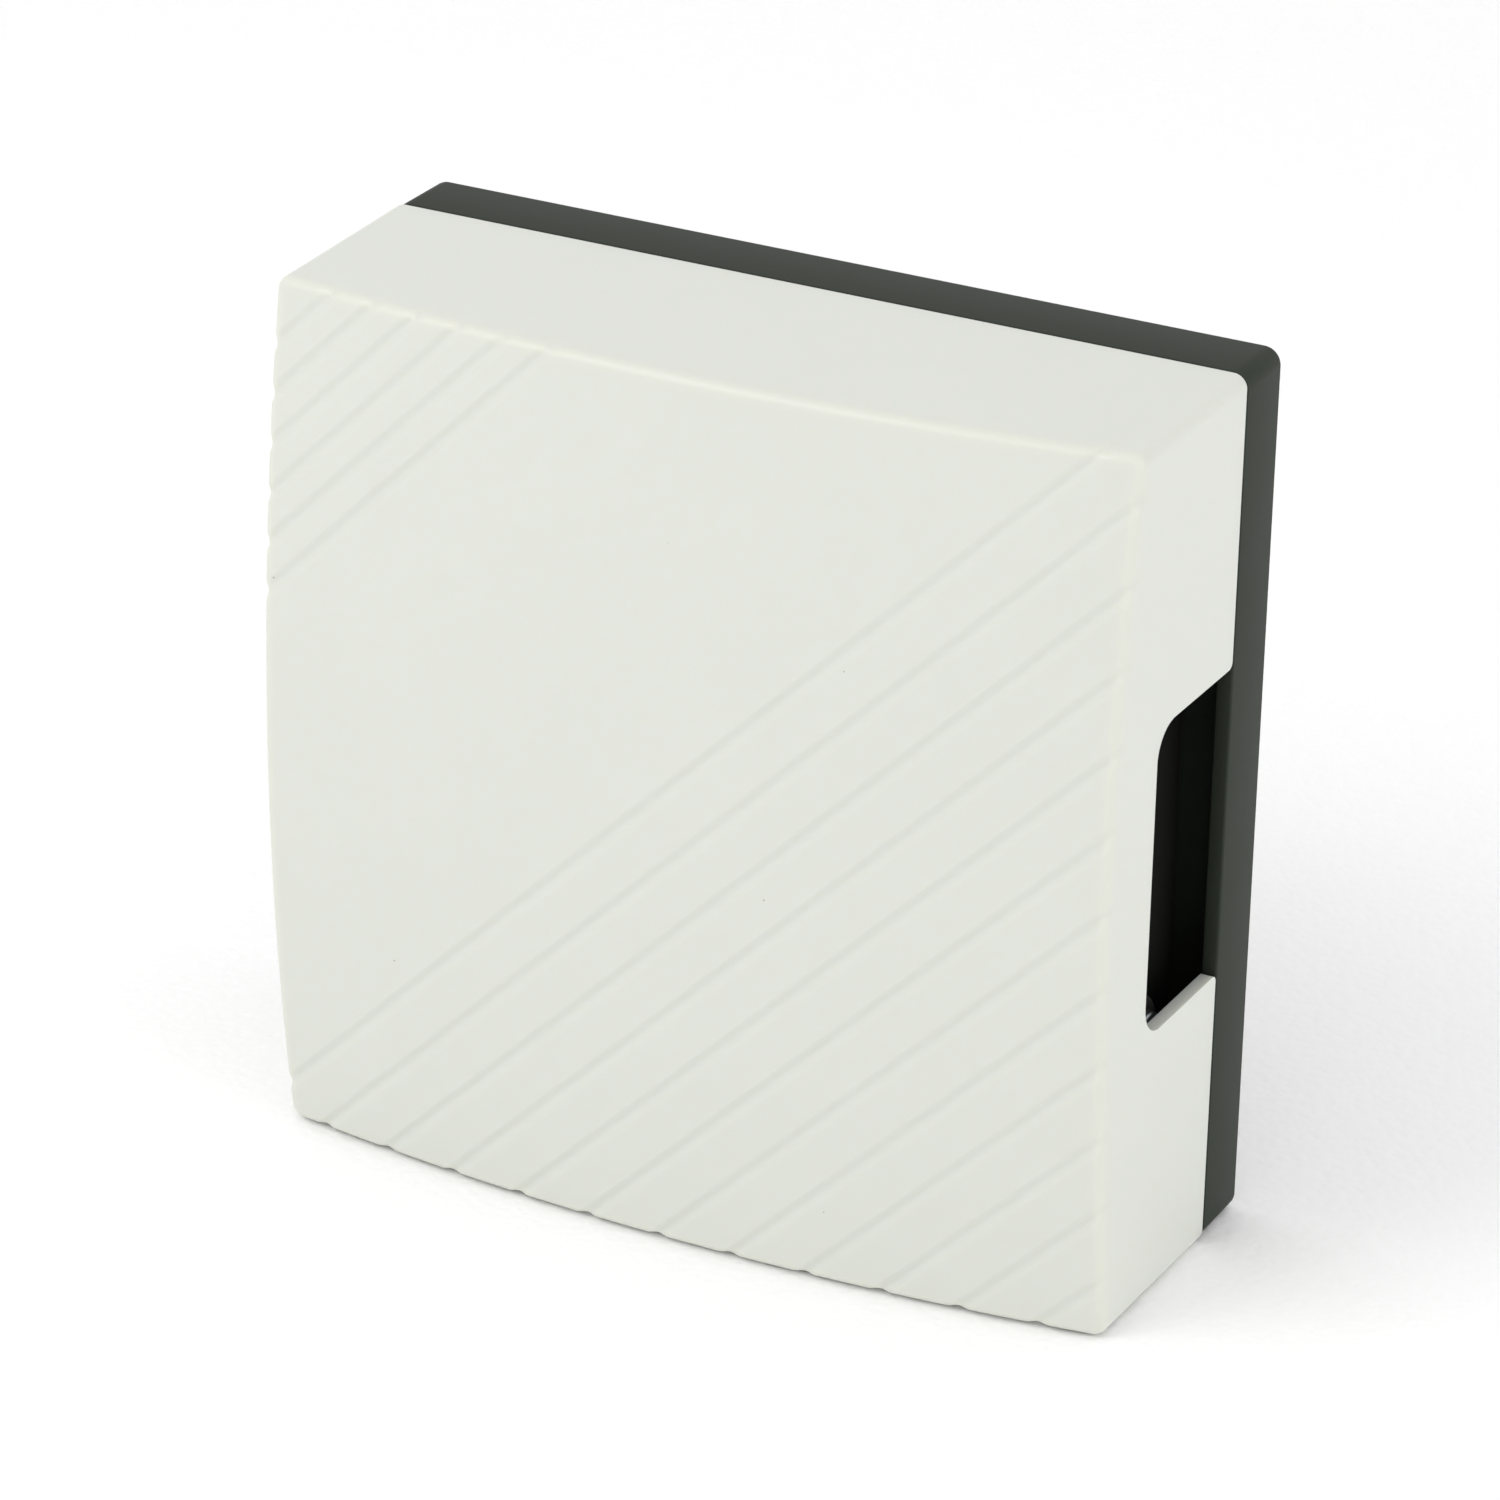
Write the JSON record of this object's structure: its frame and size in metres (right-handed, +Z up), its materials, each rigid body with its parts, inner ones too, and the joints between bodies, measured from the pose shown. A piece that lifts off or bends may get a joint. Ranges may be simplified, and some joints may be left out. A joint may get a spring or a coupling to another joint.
{
  "type": "wired door chime",
  "caption": "Square wall-mounted door chime: a crowned, diagonally grooved cover over a dark base, with a solenoid plunger that strikes steel tone bars.",
  "frame": {"origin": "middle of the back face, which lies on the wall", "axes": "+Y points into the wall and -Y to the front; +Z is up; +X is to the right as seen from the front"},
  "size_m": [0.13, 0.0512, 0.13],
  "materials": {
    "white_abs": "fine moulded texture",
    "grey_abs": "fine moulded texture",
    "blackened_steel": "black oxide",
    "zinc_plated_steel": "zinc plate",
    "spring_steel": "drawn wire",
    "brass": "drawn",
    "enamelled_copper": "enamelled wire",
    "natural_nylon": "moulded",
    "polyester_tape": "smooth film",
    "black_rubber": "matt",
    "brown_phenolic": "moulded",
    "red_sleeving": "smooth"
  },
  "bodies": {
    "base": {"base_tray": "grey_abs", "tone_bar_right": "blackened_steel", "tone_bar_left": "blackened_steel", "bar_grommet_right_upper": "black_rubber", "bar_grommet_right_lower": "black_rubber", "bar_grommet_left_upper": "black_rubber", "bar_grommet_left_lower": "black_rubber", "bar_screw_right_upper": "zinc_plated_steel", "bar_screw_right_lower": "zinc_plated_steel", "bar_screw_left_upper": "zinc_plated_steel", "bar_screw_left_lower": "zinc_plated_steel", "solenoid_frame": "zinc_plated_steel", "solenoid_screw_upper": "zinc_plated_steel", "solenoid_screw_lower": "zinc_plated_steel", "guide_tube": "brass", "coil_bobbin": "natural_nylon", "coil_winding": "enamelled_copper", "coil_tape": "polyester_tape", "return_spring": "spring_steel", "terminal_block": "brown_phenolic", "terminal_block_screw": "zinc_plated_steel", "contact_plate_left": "brass", "contact_plate_right": "brass", "coil_lead_left": "red_sleeving", "coil_lead_right": "red_sleeving"},
    "cover": {"front_cover": "white_abs"},
    "plunger": {"plunger_core": "zinc_plated_steel", "striker_right": "natural_nylon", "striker_left": "natural_nylon", "spring_clip": "spring_steel"},
    "left_clamp": {"clamp_washer_left": "zinc_plated_steel"},
    "left_terminal_screw": {"terminal_screw_left": "zinc_plated_steel"},
    "right_clamp": {"clamp_washer_right": "zinc_plated_steel"},
    "right_terminal_screw": {"terminal_screw_right": "zinc_plated_steel"}
  },
  "joints": [
    {"name": "cover_pull", "type": "slide", "parent": "base", "child": "cover", "axis": [0, -1, 0], "range_m": [0, 0.05]},
    {"name": "plunger_slide", "type": "slide", "parent": "base", "child": "plunger", "axis": [1, 0, 0], "range_m": [-0.0039, 0.0069], "stiffness_N_per_m": 60, "deforming": ["return_spring"]},
    {"name": "left_clamp_lift", "type": "slide", "parent": "base", "child": "left_clamp", "axis": [0, -1, 0], "range_m": [0, 0.0015]},
    {"name": "left_screw_turn", "type": "hinge", "parent": "left_clamp", "child": "left_terminal_screw", "pos_m": [-0.009, -0.0127, -0.037], "axis": [0, -1, 0], "range_deg": [0, 1080]},
    {"name": "right_clamp_lift", "type": "slide", "parent": "base", "child": "right_clamp", "axis": [0, -1, 0], "range_m": [0, 0.0015]},
    {"name": "right_screw_turn", "type": "hinge", "parent": "right_clamp", "child": "right_terminal_screw", "pos_m": [0.009, -0.0127, -0.037], "axis": [0, -1, 0], "range_deg": [0, 1080]}
  ],
  "couplings": [
    {"joint": "left_screw_turn", "follows": "left_clamp_lift", "rad_per_m": 12566},
    {"joint": "right_screw_turn", "follows": "right_clamp_lift", "rad_per_m": 12566}
  ]
}
